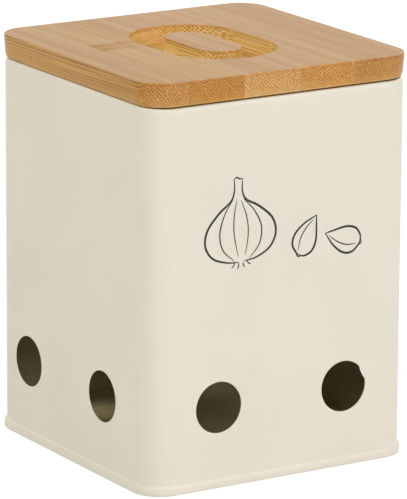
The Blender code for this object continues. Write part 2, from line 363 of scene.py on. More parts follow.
def square_path(half, corner, stops):
    """A level rounded square, anticlockwise from above, as places and outward directions.

    Each wall has points at its stops, measured along it from its middle. Each corner is a quarter circle of
    even steps about (half - corner, half - corner). Wall 0 is the front, each next one a quarter turn on.
    """
    middle = half - corner
    places, outward = [], []
    for wall in range(4):
        along = np.concatenate([[-middle], stops[wall], [middle]])
        flat = np.stack([along, np.full(len(along), -half)], axis=1)
        flat_out = np.tile([0.0, -1.0], (len(along), 1))
        angles = (-TURN / 4 + TURN / 4 * np.linspace(0, 1, CORNER_STEPS + 1))[1:-1]
        round_out = np.stack([np.cos(angles), np.sin(angles)], axis=1)
        bend = np.array([middle, -middle]) + corner * round_out
        turn = TURN / 4 * wall
        spin = np.array([[math.cos(turn), math.sin(turn)], [-math.sin(turn), math.cos(turn)]])
        places.append(np.concatenate([flat, bend]) @ spin)
        outward.append(np.concatenate([flat_out, round_out]) @ spin)
    return np.concatenate(places), np.concatenate(outward)


def carried(path, section):
    """Rings of points: at each section point (out, up) the ring is place + out * outward, at height up."""
    places, outward = path
    across = places[None] + section[:, 0, None, None] * outward[None]
    heights = np.broadcast_to(section[:, 1, None, None], across.shape[:2] + (1,))
    return np.concatenate([across, heights], axis=2)


def shrunk(ring, shares):
    """Level copies of a ring, each drawn in towards the Z axis to its share of the ring's size."""
    return ring * np.array([0, 0, 1]) + ring * np.array([1, 1, 0]) * np.array(shares)[:, None, None]


def level(ring, height):
    """A flat outline as one ring at a height."""
    return np.concatenate([ring, np.full((len(ring), 1), height)], axis=1)[None]


def ring_faces(rows, columns, first=0):
    """Four-sided faces between each ring and the next, round the whole ring."""
    row, column = np.meshgrid(np.arange(rows - 1), np.arange(columns), indexing="ij")
    beside = (column + 1) % columns
    corners = [row * columns + column, row * columns + beside]
    corners += [(row + 1) * columns + beside, (row + 1) * columns + column]
    return first + np.stack([part.ravel() for part in corners], axis=1)


def make_piece(name, points, faces, materials, body, stands_for=None, angle=30):
    """Puts points and faces into a mesh of that name, and joins it to its body in the frame."""
    mesh = bpy.data.meshes.new(name)
    mesh.from_pydata(points.reshape(-1, 3), [], faces.tolist())
    tidy = bmesh.new()
    tidy.from_mesh(mesh)
    bmesh.ops.remove_doubles(tidy, verts=tidy.verts, dist=SHEET_MERGE)
    bmesh.ops.recalc_face_normals(tidy, faces=tidy.faces)
    tidy.to_mesh(mesh)
    tidy.free()
    return place_piece(name, mesh, materials, body, stands_for, angle)


def place_piece(name, mesh, materials, body, stands_for=None, angle=30):
    """Gives a mesh its finishes and its object, with edges sharper than the angle kept crisp."""
    for material in materials:
        mesh.materials.append(material)
    mesh.shade_smooth()
    mesh.set_sharp_from_angle(angle=math.radians(angle))
    piece = bpy.data.objects.new(name, mesh)
    bpy.context.scene.collection.objects.link(piece)
    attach(piece, body)
    if stands_for:
        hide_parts(stands_for)
    return piece


# Materials


def new_material(name, values):
    """A material whose shader has the given values on its own sockets, with its tree and its shader."""
    material = bpy.data.materials.new(name)
    material.use_nodes = True
    shader = material.node_tree.nodes["Principled BSDF"]
    for key, value in values.items():
        shader.inputs[key].default_value = value
    return material, material.node_tree, shader


def node(tree, kind, inputs=(), **settings):
    """Adds a node, sets its own settings, and fills its sockets with values or with links."""
    made = tree.nodes.new(kind)
    for key, value in settings.items():
        setattr(made, key, value)
    for key, value in dict(inputs).items():
        if isinstance(value, bpy.types.NodeSocket):
            tree.links.new(value, made.inputs[key])
        else:
            made.inputs[key].default_value = value
    return made


def calc(tree, operation, *values, clamp=False):
    """One step of arithmetic on values or links."""
    inputs = dict(enumerate(values))
    return node(tree, "ShaderNodeMath", inputs, operation=operation, use_clamp=clamp).outputs[0]


def product(tree, value, *others):
    """Multiplies its values in turn."""
    for other in others:
        value = calc(tree, "MULTIPLY", value, other)
    return value


def vector_calc(tree, operation, *values):
    """One step of arithmetic on vectors, with all its results."""
    return node(tree, "ShaderNodeVectorMath", dict(enumerate(values)), operation=operation).outputs


def ramp(tree, value, low, high, to_low=0.0, to_high=1.0):
    """Takes the value from low..high to to_low..to_high, with soft ends."""
    inputs = {0: value, 1: low, 2: high, 3: to_low, 4: to_high}
    return node(tree, "ShaderNodeMapRange", inputs, interpolation_type="SMOOTHSTEP").outputs[0]


def under_top(tree, height, band, *levels):
    """A ramp over a band of heights, given as two depths under the lid's top."""
    return ramp(tree, height, LID_TOP - band[0], LID_TOP - band[1], *levels)


def over_seat(tree, height, band, *levels):
    """A ramp over a band of heights, given as two heights over the lid's seat."""
    return ramp(tree, height, SEAT_HEIGHT + band[0], SEAT_HEIGHT + band[1], *levels)


def blend_colour(tree, share, first, second, kind="MIX"):
    """The first colour with its share of the second mixed in, or multiplied in as a tone."""
    inputs = {0: share, 6: first, 7: second}
    made = node(tree, "ShaderNodeMix", inputs, data_type="RGBA", blend_type=kind)
    return made.outputs[2]


def place_of(tree, shift=(0, 0, 0), scale=(1, 1, 1), turn=(0, 0, 0), source=None):
    """The object's own coordinates, or the source's, stretched, turned and shifted."""
    start = source or node(tree, "ShaderNodeTexCoord").outputs["Object"]
    inputs = {"Vector": start, "Location": shift, "Rotation": turn, "Scale": scale}
    return node(tree, "ShaderNodeMapping", inputs).outputs[0]


def noise(tree, source, rate, detail=2.0, roughness=0.5, colour=False):
    """Noise that repeats rate times a metre, the same in all directions."""
    inputs = {"Vector": source, "Scale": rate, "Detail": detail, "Roughness": roughness}
    return node(tree, "ShaderNodeTexNoise", inputs).outputs["Color" if colour else "Fac"]


def pattern(tree, source, rates, detail, roughness=0.5, colour=False):
    """Noise with its own rate across, along and up the strip."""
    return noise(tree, place_of(tree, scale=rates, source=source), 1, detail, roughness, colour)


def bump(tree, height, distance, strength, under=None):
    """Relief as deep as the distance, on top of the relief under it."""
    inputs = {"Height": height, "Distance": distance, "Strength": strength}
    if under:
        inputs["Normal"] = under
    return node(tree, "ShaderNodeBump", inputs).outputs[0]


def times(colour, gains):
    """A colour with each of its parts multiplied by its own gain, and full alpha."""
    return tuple(part * gain for part, gain in zip(colour, gains)) + (1,)


def fresh_and_lit_gain(fresh_and_lit, ground):
    """The tone that turns the ground into the milled ring's wood: fresh cut, and paler still as painted
    light.
    """
    return times(fresh_and_lit, tuple(1 / part for part in ground))


def coated_sheet(name, colour, roughness, gloss):
    """A satin powder coat: faint clouds in the tone, and the fine orange peel of sprayed powder."""
    material, tree, shader = new_material(name, {"IOR": gloss})
    place = place_of(tree)
    clouds = noise(tree, place, CLOUD_RATE)
    grains = noise(tree, place, POWDER_RATE)
    tone = ramp(tree, clouds, *MIDDLE)
    coat = blend_colour(tree, tone, times(colour, (CLOUD_SHADE,) * 3), colour + (1,))
    speck = ramp(tree, grains, *WIDE, 0.0, POWDER_SPECKS)
    coat = blend_colour(tree, speck, coat, times(colour, (POWDER_SHADE,) * 3))
    tree.links.new(coat, shader.inputs["Base Color"])
    rough = ramp(tree, grains, *WIDE, roughness - POWDER_ROUGHNESS, roughness + POWDER_ROUGHNESS)
    tree.links.new(rough, shader.inputs["Roughness"])
    waves = bump(tree, noise(tree, place, WAVE_RATE, 1), WAVE_DEPTH, 0.6)
    peel = noise(tree, place, PEEL_RATE, 2, 0.55)
    tree.links.new(bump(tree, peel, PEEL_DEPTH, 0.6, waves), shader.inputs["Normal"])
    return material


def bamboo(name, ground, end_ground, seed, along, hair_lines=(), joint_place=None, knot_place=None):
    """Laminated bamboo as a solid pattern: bundles of dark fibre run the whole length of the strip.

    Across the fibres each bundle is a dot, the dots stand in leaning rows and thin out towards the underside.
    Along the fibres the same bundles show as thin lines, with paler and darker streaks between them. The
    sanded top is calmer. The milled ring is fresh cut, made paler and more golden still as painted light,
    with painted shade on its floor. The lower edge is rubbed pale with a painted reflection on it, and the
    top arris has pale nicks with a painted highlight.
    """
    material, tree, shader = new_material(name, {"IOR": BAMBOO_GLOSS})
    strip = strip_zones(tree, seed, along)
    bundles = fibre_bundles(tree, strip)
    wood = strip_wood(tree, strip, ground, end_ground)
    wood = blend_colour(tree, bundles, wood, BUNDLE_TONE, "MULTIPLY")
    wood = edge_wear_and_highlights(tree, strip, wood)
    for line, behind, ahead in hair_lines:
        away = calc(tree, "ABSOLUTE", calc(tree, "SUBTRACT", strip.own[0], line))
        mark = ramp(tree, away, *HAIR_HALF_WIDTHS, 1.0, 0.0)
        mark = product(tree, mark, ramp(tree, strip.own[1], *HAIR_FADE, ahead, behind))
        wood = blend_colour(tree, mark, wood, times(ground, HAIR_GAINS))
    rough = ramp(tree, strip.streaks, *WIDE, *BAMBOO_ROUGHNESS)
    if joint_place:
        wood, mark = cane_joint(tree, strip, wood, joint_place)
        rough = calc(tree, "MULTIPLY_ADD", product(tree, mark, strip.top), CANE_JOINT_DULL, rough)
    if knot_place:
        wood = small_knot(tree, strip, wood, knot_place)
    tree.links.new(wood, shader.inputs["Base Color"])
    tree.links.new(rough, shader.inputs["Roughness"])
    grain = bump(tree, strip.fine, GRAIN_DEPTH, 0.5)
    tree.links.new(bump(tree, bundles, -BUNDLE_DEPTH, 0.5, grain), shader.inputs["Normal"])
    return material


def strip_zones(tree, seed, along):
    """What the strip's patterns read: places, facing, the share of each zone, the noises along the fibres.

    The zones are the sawn ends, the long faces, the sanded top and the milled ring. The moved place gives
    each strip wood of its own, and the bent one makes its fibres wander.
    """
    place = place_of(tree, turn=(0, 0, 0) if along == "Y" else (0, 0, TURN / 4))
    tilt = (FIBRE_TILT * math.sin(FIBRE_TILT_STEP * seed), 0, 0)
    moved = place_of(tree, tuple(part * seed for part in STRIP_SHIFT), turn=tilt, source=place)
    own = node(tree, "ShaderNodeSeparateXYZ", {0: place}).outputs
    facing = node(tree, "ShaderNodeTexCoord").outputs["Normal"]
    facing = node(tree, "ShaderNodeSeparateXYZ", {0: facing}).outputs
    strip = SimpleNamespace(own=own, moved=moved, facing=facing)
    strip.end = ramp(tree, calc(tree, "ABSOLUTE", facing[1 if along == "Y" else 0]), *END_FACING)
    strip.long = calc(tree, "SUBTRACT", 1.0, strip.end)
    strip.near_top = under_top(tree, own[2], SANDED_BAND)
    strip.top = product(tree, ramp(tree, facing[2], *TOP_FACING), strip.near_top)
    strip.milled = milled_ring(tree, own)
    wander = pattern(tree, moved, WANDER_RATES, 1, colour=True)
    drift = vector_calc(tree, "SUBTRACT", wander, (0.5, 0.5, 0.5))[0]
    drift = vector_calc(tree, "MULTIPLY", drift, WANDER_REACH)[0]
    strip.bent = vector_calc(tree, "ADD", moved, drift)[0]
    strip.streaks = pattern(tree, strip.bent, STREAK_RATES, 3, 0.55)
    strip.fine = pattern(tree, strip.bent, FINE_RATES, 2, 0.6)
    strip.threads = pattern(tree, strip.bent, THREAD_RATES, 2, 0.6)
    return strip


def milled_ring(tree, own):
    """The share of fresh wood, made paler still as painted light: 1 inside the sunk ring's oblong below the
    sanded top, and 0 outside it.
    """
    reach = GRIP_WIDTH / 2 + GROOVE_WIDTH + MILLED_MARGIN
    length = reach + GRIP_STRAIGHT / 2
    side = ramp(tree, calc(tree, "ABSOLUTE", own[0]), reach, reach + MILLED_FADE, 1.0, 0.0)
    ends = ramp(tree, calc(tree, "ABSOLUTE", own[1]), length, length + MILLED_FADE, 1.0, 0.0)
    below = under_top(tree, own[2], MILLED_HEAD, 1.0, 0.0)
    above = under_top(tree, own[2], MILLED_FOOT)
    return product(tree, side, ends, product(tree, below, above))


def fibre_bundles(tree, strip):
    """How dark the bundles are: dots in cells of a grid turned by 45 degrees, drawn out along the fibres.

    The rows lean by the lean times the height over the strip's middle, and swirl a little. The dots are
    fainter on the top, on the long faces and low on the strip, and faintest on the ring's back left wall.
    """
    parts = node(tree, "ShaderNodeSeparateXYZ", {0: strip.bent}).outputs
    lean = calc(tree, "SUBTRACT", pattern(tree, strip.moved, ROW_LEAN_RATES, 0), 0.5)
    rise = calc(tree, "SUBTRACT", strip.own[2], SEAT_HEIGHT + LID_THICKNESS / 2)
    column = calc(tree, "ADD", parts[0], product(tree, lean, rise, ROW_LEAN))
    swirl = pattern(tree, strip.moved, SWIRL_RATES, 1, colour=True)
    swirl = node(tree, "ShaderNodeSeparateColor", {0: swirl}).outputs
    column = calc(tree, "MULTIPLY_ADD", swirl[0], ROW_SWIRL, column)
    level = calc(tree, "MULTIPLY_ADD", swirl[1], ROW_SWIRL, parts[2])
    across = node(tree, "ShaderNodeCombineXYZ", {0: column, 1: level}).outputs[0]
    cells = place_of(tree, scale=(1 / BUNDLE_PITCH,) * 3, turn=(0, 0, TURN / 8), source=across)
    inputs = {"Vector": cells, "Scale": 1.0, "Randomness": BUNDLE_SCATTER}
    away = node(tree, "ShaderNodeTexVoronoi", inputs, voronoi_dimensions="2D").outputs["Distance"]
    bundle = ramp(tree, away, *BUNDLE_EDGE, 0.0, 1.0)
    crowd = over_seat(tree, strip.own[2], CROWD_BAND, LOW_BUNDLES, 1.0)
    reach = calc(tree, "MULTIPLY_ADD", strip.end, END_BUNDLES - SIDE_BUNDLES, SIDE_BUNDLES)
    reach = calc(tree, "ADD", reach, product(tree, strip.milled, strip.long, MILLED_BUNDLES))
    reach = product(tree, reach, calc(tree, "MULTIPLY_ADD", strip.top, TOP_BUNDLES - 1, 1.0))
    left = ramp(tree, strip.own[0], *BARE_WALL_LEFT, 1.0, 0.0)
    back = ramp(tree, strip.own[1], *BARE_WALL_BACK)
    below = under_top(tree, strip.own[2], BARE_WALL_HEAD, 1.0, 0.0)
    bare = product(tree, left, back, below, strip.milled, -BARE_WALL_SHARE)
    reach = product(tree, reach, calc(tree, "ADD", bare, 1.0))
    return calc(tree, "MULTIPLY", bundle, product(tree, crowd, reach), clamp=True)


def strip_wood(tree, strip, ground, end_ground):
    """The wood between the bundles: streaks and threads on the long faces, clouds on the ends, fresh cuts.

    The milled ring's fresh cuts are made paler still as painted light, and its floor darker as painted shade.
    """
    pale, deep = times(ground, STREAK_PALE), times(ground, STREAK_DEEP)
    wood = blend_colour(tree, ramp(tree, strip.streaks, *STREAK_WINDOW), deep, pale)
    wood = blend_colour(tree, ramp(tree, strip.fine, *FINE_WINDOW, 0.0, FINE_SHARE), wood, deep)
    thread = ramp(tree, strip.threads, *THREAD_WINDOW, 0.0, THREAD_SHARE)
    on_top = calc(tree, "MULTIPLY_ADD", strip.top, THREAD_TOP - 1, 1.0)
    on_ring = calc(tree, "MULTIPLY_ADD", strip.milled, THREAD_MILLED - 1, 1.0)
    low = under_top(tree, strip.own[2], THREAD_BAND, THREAD_LOW, 1.0)
    thread = product(tree, thread, on_top, on_ring, low)
    wood = blend_colour(tree, thread, wood, times(ground, THREAD_GAINS))
    wood = blend_colour(tree, product(tree, strip.top, 1 - TOP_CALM), wood, ground + (1,))
    pale, deep = times(end_ground, END_PALE), times(end_ground, END_DEEP)
    end_wood = blend_colour(tree, ramp(tree, strip.streaks, *MIDDLE), deep, pale)
    wood = blend_colour(tree, strip.end, wood, end_wood)
    # The milled ring's fresh cut wood is made paler still, as painted light in the sunk ring.
    for face, fresh_and_lit, cut_from in ((strip.long, MILLED_LONG_FRESH_AND_LIT, ground), (strip.end, MILLED_END_FRESH_AND_LIT, end_ground)):
        share = product(tree, strip.milled, face)
        wood = blend_colour(tree, share, wood, fresh_and_lit_gain(fresh_and_lit, cut_from), "MULTIPLY")
    # Painted shade: the milled ring's floor is darkened, as if little light reached down into it.
    floor = product(tree, strip.milled, ramp(tree, strip.facing[2], *FLOOR_FACING))
    return blend_colour(tree, floor, wood, GROOVE_FLOOR_PAINTED_SHADE, "MULTIPLY")


def edge_wear_and_highlights(tree, strip, wood):
    """The line under the top edge, the yellower left and right sides, and the pale arris and foot.

    The arris is worn nicks with a painted highlight, and the foot is rubbed pale with a painted reflection.
    """
    height, facing = strip.own[2], strip.facing
    edge = product(tree, under_top(tree, height, EDGE_FOOT), under_top(tree, height, EDGE_HEAD, 1.0, 0.0))
    edge = product(tree, edge, ramp(tree, strip.threads, *FRAY_WINDOW, FRAY_SHARE, 1.0))
    wood = blend_colour(tree, edge, wood, EDGE_TONE, "MULTIPLY")
    side = product(tree, ramp(tree, calc(tree, "ABSOLUTE", facing[0]), *SIDE_FACING), strip.long)
    side = product(tree, side, calc(tree, "SUBTRACT", 1.0, strip.milled))
    wood = blend_colour(tree, side, wood, SIDE_TONE, "MULTIPLY")
    # Painted highlight: the upward-turned arris near the top is lightened and made bluer at worn nicks, where
    # the edge catches light.
    nicks = ramp(tree, pattern(tree, strip.moved, NICK_RATES, 1), *NICK_WINDOW)
    turned, flat = ramp(tree, facing[2], *ARRIS_HIGHLIGHT_FACING), ramp(tree, facing[2], *FLAT_FACING, 1.0, 0.0)
    arris_nicks_and_highlight = product(tree, turned, flat, strip.near_top, nicks)
    wood = blend_colour(tree, arris_nicks_and_highlight, wood, ARRIS_NICK_AND_HIGHLIGHT_TONE, "MULTIPLY")
    # The pale band on the lower edge is wear with a painted reflection of the bright floor on it.
    rubbed_and_reflection = product(tree, over_seat(tree, height, RUBBED_AND_REFLECTION_HEAD), over_seat(tree, height, RUBBED_AND_REFLECTION_FOOT))
    return blend_colour(tree, rubbed_and_reflection, wood, RUBBED_AND_REFLECTION_TONE, "MULTIPLY")


def cane_joint(tree, strip, wood, middle):
    """The cane's old joint: two soft wavy mottled bands across the strip, strongest at its left."""
    ripple = calc(tree, "SUBTRACT", pattern(tree, strip.moved, RIPPLE_RATES, 3), 0.5)
    offset = calc(tree, "MULTIPLY_ADD", ripple, RIPPLE_REACH, strip.own[1])
    mottle = ramp(tree, pattern(tree, strip.moved, MOTTLE_RATES, 2), *MIDDLE, MOTTLE_LOW, 1.0)
    marks = []
    for shift, inner, outer, strong, weak in CANE_JOINT_BANDS:
        away = calc(tree, "ABSOLUTE", calc(tree, "SUBTRACT", offset, middle + shift))
        band = ramp(tree, away, inner, outer, 1.0, 0.0)
        marks.append(product(tree, band, ramp(tree, strip.own[0], *CANE_JOINT_FADE, strong, weak)))
    mark = product(tree, calc(tree, "MAXIMUM", *marks), mottle)
    wood = blend_colour(tree, mark, wood, CANE_JOINT_TONE, "MULTIPLY")
    sunned = ramp(tree, strip.own[1], *SUNNED_FADE)
    return blend_colour(tree, sunned, wood, SUNNED_TONE, "MULTIPLY"), mark


def small_knot(tree, strip, wood, middle):
    """A nick where a bud grew: a dark spot behind and a pale one in front of it, each an oval fading out."""
    for shift, tone in KNOT_SPOTS:
        along = calc(tree, "DIVIDE", calc(tree, "SUBTRACT", strip.own[1], middle[0] + shift), KNOT_SIZE[0])
        up = calc(tree, "DIVIDE", calc(tree, "SUBTRACT", strip.own[2], middle[1]), KNOT_SIZE[1])
        away = calc(tree, "ADD", product(tree, along, along), product(tree, up, up))
        on_edge = ramp(tree, strip.own[0], *KNOT_FADE)
        spot = product(tree, ramp(tree, away, *KNOT_SOFTNESS, KNOT_SHARE, 0.0), on_edge)
        wood = blend_colour(tree, spot, wood, tone, "MULTIPLY")
    return wood


def silicone(name):
    """Pale silicone: a little light passes into it, and fine dust dulls it."""
    values = {"IOR": SILICONE_GLOSS, "Subsurface Weight": 0.25, "Subsurface Scale": SILICONE_DEPTH}
    material, tree, shader = new_material(name, values)
    dust = noise(tree, place_of(tree), DUST_RATE, 3)
    tone = blend_colour(tree, ramp(tree, dust, *MIDDLE), SILICONE_DULL, SILICONE_PALE)
    tree.links.new(tone, shader.inputs["Base Color"])
    tree.links.new(ramp(tree, dust, *MIDDLE, *SILICONE_ROUGHNESS), shader.inputs["Roughness"])
    tree.links.new(bump(tree, dust, DUST_DEPTH, 0.4), shader.inputs["Normal"])
    return material


def ink(name):
    """Black printed line, a little worn."""
    material, tree, shader = new_material(name, {"IOR": INK_GLOSS})
    wear = noise(tree, place_of(tree), WEAR_RATE, 3)
    tone = blend_colour(tree, ramp(tree, wear, *WEAR_WINDOW), INK_BLACK, INK_WORN)
    tree.links.new(tone, shader.inputs["Base Color"])
    tree.links.new(ramp(tree, wear, *MIDDLE, *INK_ROUGHNESS), shader.inputs["Roughness"])
    return material


cream_coat = coated_sheet("cream_coat_satin", CREAM, OUTER_ROUGHNESS, OUTER_GLOSS)
# The inside of the sheet takes the darker coat of painted shade.
inner_coat_painted_shade = coated_sheet("cream_coat_inside_painted_shade", INNER_CREAM_PAINTED_SHADE, INNER_ROUGHNESS, INNER_GLOSS)
lid_bamboo = [
    bamboo(f"bamboo_lid_{number}", ground, end_ground, number, "Y", *marks)
    for number, (ground, end_ground, *marks) in enumerate(LID_STRIPS, start=1)
]
plug_bamboo = [
    bamboo(f"bamboo_plug_{number}", *LID_STRIPS[2 * number % len(LID_STRIPS)][:2], PLUG_SEED + number, "X")
    for number in range(1, PLUG_STRIPS + 1)
]
pale_silicone = silicone("silicone_pale")
black_ink = ink("black_line")


# Tin


def vent_stops():
    """For each wall, where its points stand along it: even steps across each vent's square patch."""
    stops = []
    for wall in range(4):
        shift = SIDE_VENT_SHIFT if wall % 2 else 0
        patch = np.linspace(-VENT_PATCH, VENT_PATCH, PATCH_STEPS + 1)
        stops.append(np.concatenate([side * VENT_SPACING / 2 - shift + patch for side in (-1, 1)]))
    return stops


def body_section():
    """The sleeve's middle line: its foot hook, up the wall with even steps over the vents, round the curl.

    Under the curl the wall bows inward by drop * s^2, for s from 0 to 1 over the bow's height, and the curl's
    arc goes on from the angle that it reaches. With the line comes the first of the rows over the vents.
    """
    wall = -SHEET / 2
    hook_tip = np.array([[wall + 2 * LAYER_PITCH, BEAD_HEIGHT - SHEET - HOOK_CLEARANCE]])
    foot_centre = (wall + LAYER_PITCH, SHEET / 2 + 2 * LAYER_PITCH)
    foot = arc(foot_centre, LAYER_PITCH, 0, -TURN / 2, BEND_STEPS)
    vents = VENT_HEIGHT + np.linspace(-VENT_PATCH, VENT_PATCH, PATCH_STEPS + 1)
    rise = np.concatenate([[LOW_ROW], vents, np.linspace(*UPPER_ROWS)])
    side = np.stack([np.full(len(rise), wall), rise], axis=1)
    radius = (CURL_WIDTH - SHEET - RIM_LEAN) / 2
    centre = (-(CURL_WIDTH + RIM_LEAN) / 2, TIN_HEIGHT - SHEET / 2 - radius)
    curl = arc(centre, radius, RIM_LEAN_TURN, TURN * CURL_TURN_SHARE - RIM_LEAN_TURN, CURL_STEPS)
    drop = wall - curl[0, 0]
    height = 2 * drop / math.tan(RIM_LEAN_TURN)
    shares = np.linspace(0, 1, RIM_LEAN_STEPS + 1)[:-1]
    bow = np.stack([wall - drop * shares**2, curl[0, 1] - height * (1 - shares)], axis=1)
    return np.concatenate([hook_tip, foot, side, bow, curl]), len(hook_tip) + len(foot) + 1


def vent_rings(edge, wall):
    """A vent's rings, from the square edge of its patch to the rolled edge of its hole.

    Each flat ring lies its share of the way from the square to the circle, and the last rings roll inward
    by a quarter ellipse, as the edge of a punched hole does.
    """
    turn = TURN / 4 * wall
    along = np.array([math.cos(turn), math.sin(turn), 0])
    inward = np.array([-math.sin(turn), math.cos(turn), 0])
    centre = edge.mean(axis=0)
    angles = -TURN * 3 / 8 + TURN * np.arange(len(edge)) / len(edge)
    circle = np.cos(angles)[:, None] * along + np.sin(angles)[:, None] * np.array([0, 0, 1])
    radius = VENT_RADIUS + VENT_ROOM
    meet = centre + (radius + VENT_ROLL) * circle
    flat = edge + np.array(VENT_SHARES)[:, None, None] * (meet - edge)
    bend = TURN / 4 * np.linspace(0, 1, ROUND_STEPS + 1)[1:, None, None]
    roll_out = radius + VENT_ROLL * (1 - np.sin(bend))
    roll_in = VENT_ROLL_DEPTH * (1 - np.cos(bend))
    return np.concatenate([flat, centre + roll_out * circle + roll_in * inward])


def make_sleeve():
    """The sleeve of sheet: the section carried round, with each vent's square of faces replaced by rings.

    The bow and the curl dip along the front and the back, by dip * (outward y)^2, where the lid leaves a fine
    gap.
    """
    stops = vent_stops()
    path = square_path(TIN_WIDTH / 2, TIN_CORNER, stops)
    section, low = body_section()
    rings = carried(path, section)
    rings[-CURL_STEPS - 1 - RIM_LEAN_STEPS :, :, 2] -= RIM_DIP * path[1][:, 1] ** 2
    rows, columns = rings.shape[:2]
    points = rings.reshape(-1, 3)
    faces = ring_faces(rows, columns)
    keep = np.ones(len(faces), bool)
    wall_columns = len(stops[0]) + 2 + CORNER_STEPS - 1
    steps = np.arange(PATCH_STEPS)
    high = low + PATCH_STEPS
    for wall in range(4):
        for vent in range(2):
            left = wall * wall_columns + 1 + vent * (PATCH_STEPS + 1)
            right = left + PATCH_STEPS
            keep[(low + steps)[:, None] * columns + left + steps] = False
            border = [low * columns + left + steps, (low + steps) * columns + right]
            border += [high * columns + right - steps, (high - steps) * columns + left]
            border = np.concatenate(border)
            own = vent_rings(points[border], wall)
            inside = len(points) + np.arange(len(border))
            joined = [border, np.roll(border, -1), np.roll(inside, -1), inside]
            inner = ring_faces(len(own), len(border), len(points))
            faces = np.concatenate([faces, np.stack(joined, axis=1), inner])
            points = np.concatenate([points, own.reshape(-1, 3)])
    keep = np.concatenate([keep, np.ones(len(faces) - len(keep), bool)])
    finishes = [cream_coat, inner_coat_painted_shade]
    return make_piece("sleeve", points, faces[keep], finishes, "tin", "tin_body")


def sheet_metal(piece):
    """Gives a surface the sheet's thickness, half on each side, with its second finish on the far side."""
    step = piece.modifiers.new("sheet", "SOLIDIFY")
    step.thickness = SHEET
    step.offset = 0
    step.use_even_offset = True
    step.use_quality_normals = True
    step.material_offset = 1
    step.material_offset_rim = 0


def make_foot():
    """The bottom: a flat panel, down inside the wall, under the foot and up the swelling bead.

    The bead is widest at its belly. Below it the side comes in by bulge * u^2, and above it by retreat * v^2,
    for u and v from 0 at the belly to 1 at the side's ends. Its shoulder is an arc that starts along that
    curve, and a hollow arc, tangent to it and to the wall, runs out just under the wall's surface.
    """
    inner = -SHEET / 2 - LAYER_PITCH
    outer = inner + 4 * LAYER_PITCH
    under = SHEET / 2 + FOOT_BEND
    high = BEAD_HEIGHT - SHOULDER_DROP
    belly = BEAD_BELLY_SHARE
    start = math.atan(2 * BEAD_BULGE / (belly * (high - under)))
    lean = math.atan(2 * BEAD_RETREAT / ((1 - belly) * (high - under)))
    low = under - FOOT_BEND * math.sin(start)
    turn = TURN / 4
    panel = arc((inner - PANEL_BEND, PANEL_HEIGHT - PANEL_BEND), PANEL_BEND, turn, -turn, BEND_STEPS)
    near = arc((inner + FOOT_BEND, under), FOOT_BEND, 2 * turn, turn, BEND_STEPS)
    far = arc((outer - FOOT_BEND * math.cos(start), under), FOOT_BEND, -turn, turn - start, BEND_STEPS)
    shares = np.linspace(0, 1, BEAD_STEPS + 1)[1:-1]
    below = np.maximum(belly - shares, 0) / belly
    above = np.maximum(shares - belly, 0) / (1 - belly)
    widest = outer + BEAD_BULGE
    side = widest - BEAD_BULGE * below**2 - BEAD_RETREAT * above**2
    side = np.stack([side, low + (high - low) * shares], axis=1)
    crest = np.array([widest - BEAD_RETREAT, high])
    centre = crest - SHOULDER_BEND * np.array([math.cos(lean), math.sin(lean)])
    end = -SHEET / 2 - FILLET_SINK
    top = math.acos((FILLET_BEND + end - centre[0]) / (SHOULDER_BEND + FILLET_BEND))
    shoulder = arc(centre, SHOULDER_BEND, lean, top - lean, SHOULDER_STEPS)
    hollow = centre + (SHOULDER_BEND + FILLET_BEND) * np.array([math.cos(top), math.sin(top)])
    fillet = arc(hollow, FILLET_BEND, 2 * turn + top, -top, SHOULDER_STEPS)[1:]
    section = np.concatenate([panel, near, far, side, shoulder, fillet])
    rings = carried(square_path(TIN_WIDTH / 2, TIN_CORNER, [WALL_STOPS] * 4), section)
    rings = np.concatenate([shrunk(rings[0], PANEL_SHARES), rings])
    finishes = [cream_coat, inner_coat_painted_shade]
    faces = ring_faces(*rings.shape[:2])
    return make_piece("foot_seam", rings, faces, finishes, "tin", "tin_base")


def make_side_seam():
    """The folded seam down the back: a strip with rounded long edges and ends that sink into the wall.

    Its height over the wall is the rise times (1 - u^6)(1 - v^40), for u across and v along from -1 to 1.
    """
    across, along = (np.linspace(-1, 1, steps + 1) for steps in SIDE_SEAM_STEPS)
    u, v = np.meshgrid(across, along, indexing="ij")
    low = BEAD_HEIGHT + SIDE_SEAM_END_GAP
    high = TIN_HEIGHT - CURL_WIDTH - SIDE_SEAM_END_GAP
    rise = SIDE_SEAM_RISE * (1 - u**6) * (1 - v**40)
    y = TIN_WIDTH / 2 - SIDE_SEAM_SINK + rise
    z = (low + high) / 2 + v * (high - low) / 2
    points = np.stack([-u * SIDE_SEAM_WIDTH / 2, y, z], axis=2).reshape(-1, 3)
    under = points * np.array([1, 0, 1]) + np.array([0, TIN_WIDTH / 2 - SIDE_SEAM_BASE, 0])
    rows, columns = u.shape
    row, column = np.meshgrid(np.arange(rows - 1), np.arange(columns - 1), indexing="ij")
    start = (row * columns + column).ravel()
    top = np.stack([start, start + columns, start + columns + 1, start + 1], axis=1)
    base = top[:, ::-1] + len(points)
    ring = [np.arange(rows) * columns, (rows - 1) * columns + np.arange(1, columns)]
    ring += [np.arange(rows - 1)[::-1] * columns + columns - 1, np.arange(1, columns - 1)[::-1]]
    ring = np.concatenate(ring)
    after = np.roll(ring, -1)
    sides = np.stack([after, ring, ring + len(points), after + len(points)], axis=1)
    faces = np.concatenate([top, base, sides])
    make_piece("side_seam", np.concatenate([points, under]), faces, [cream_coat], "tin")


sheet_metal(make_sleeve())
sheet_metal(make_foot())
make_side_seam()


# Lid


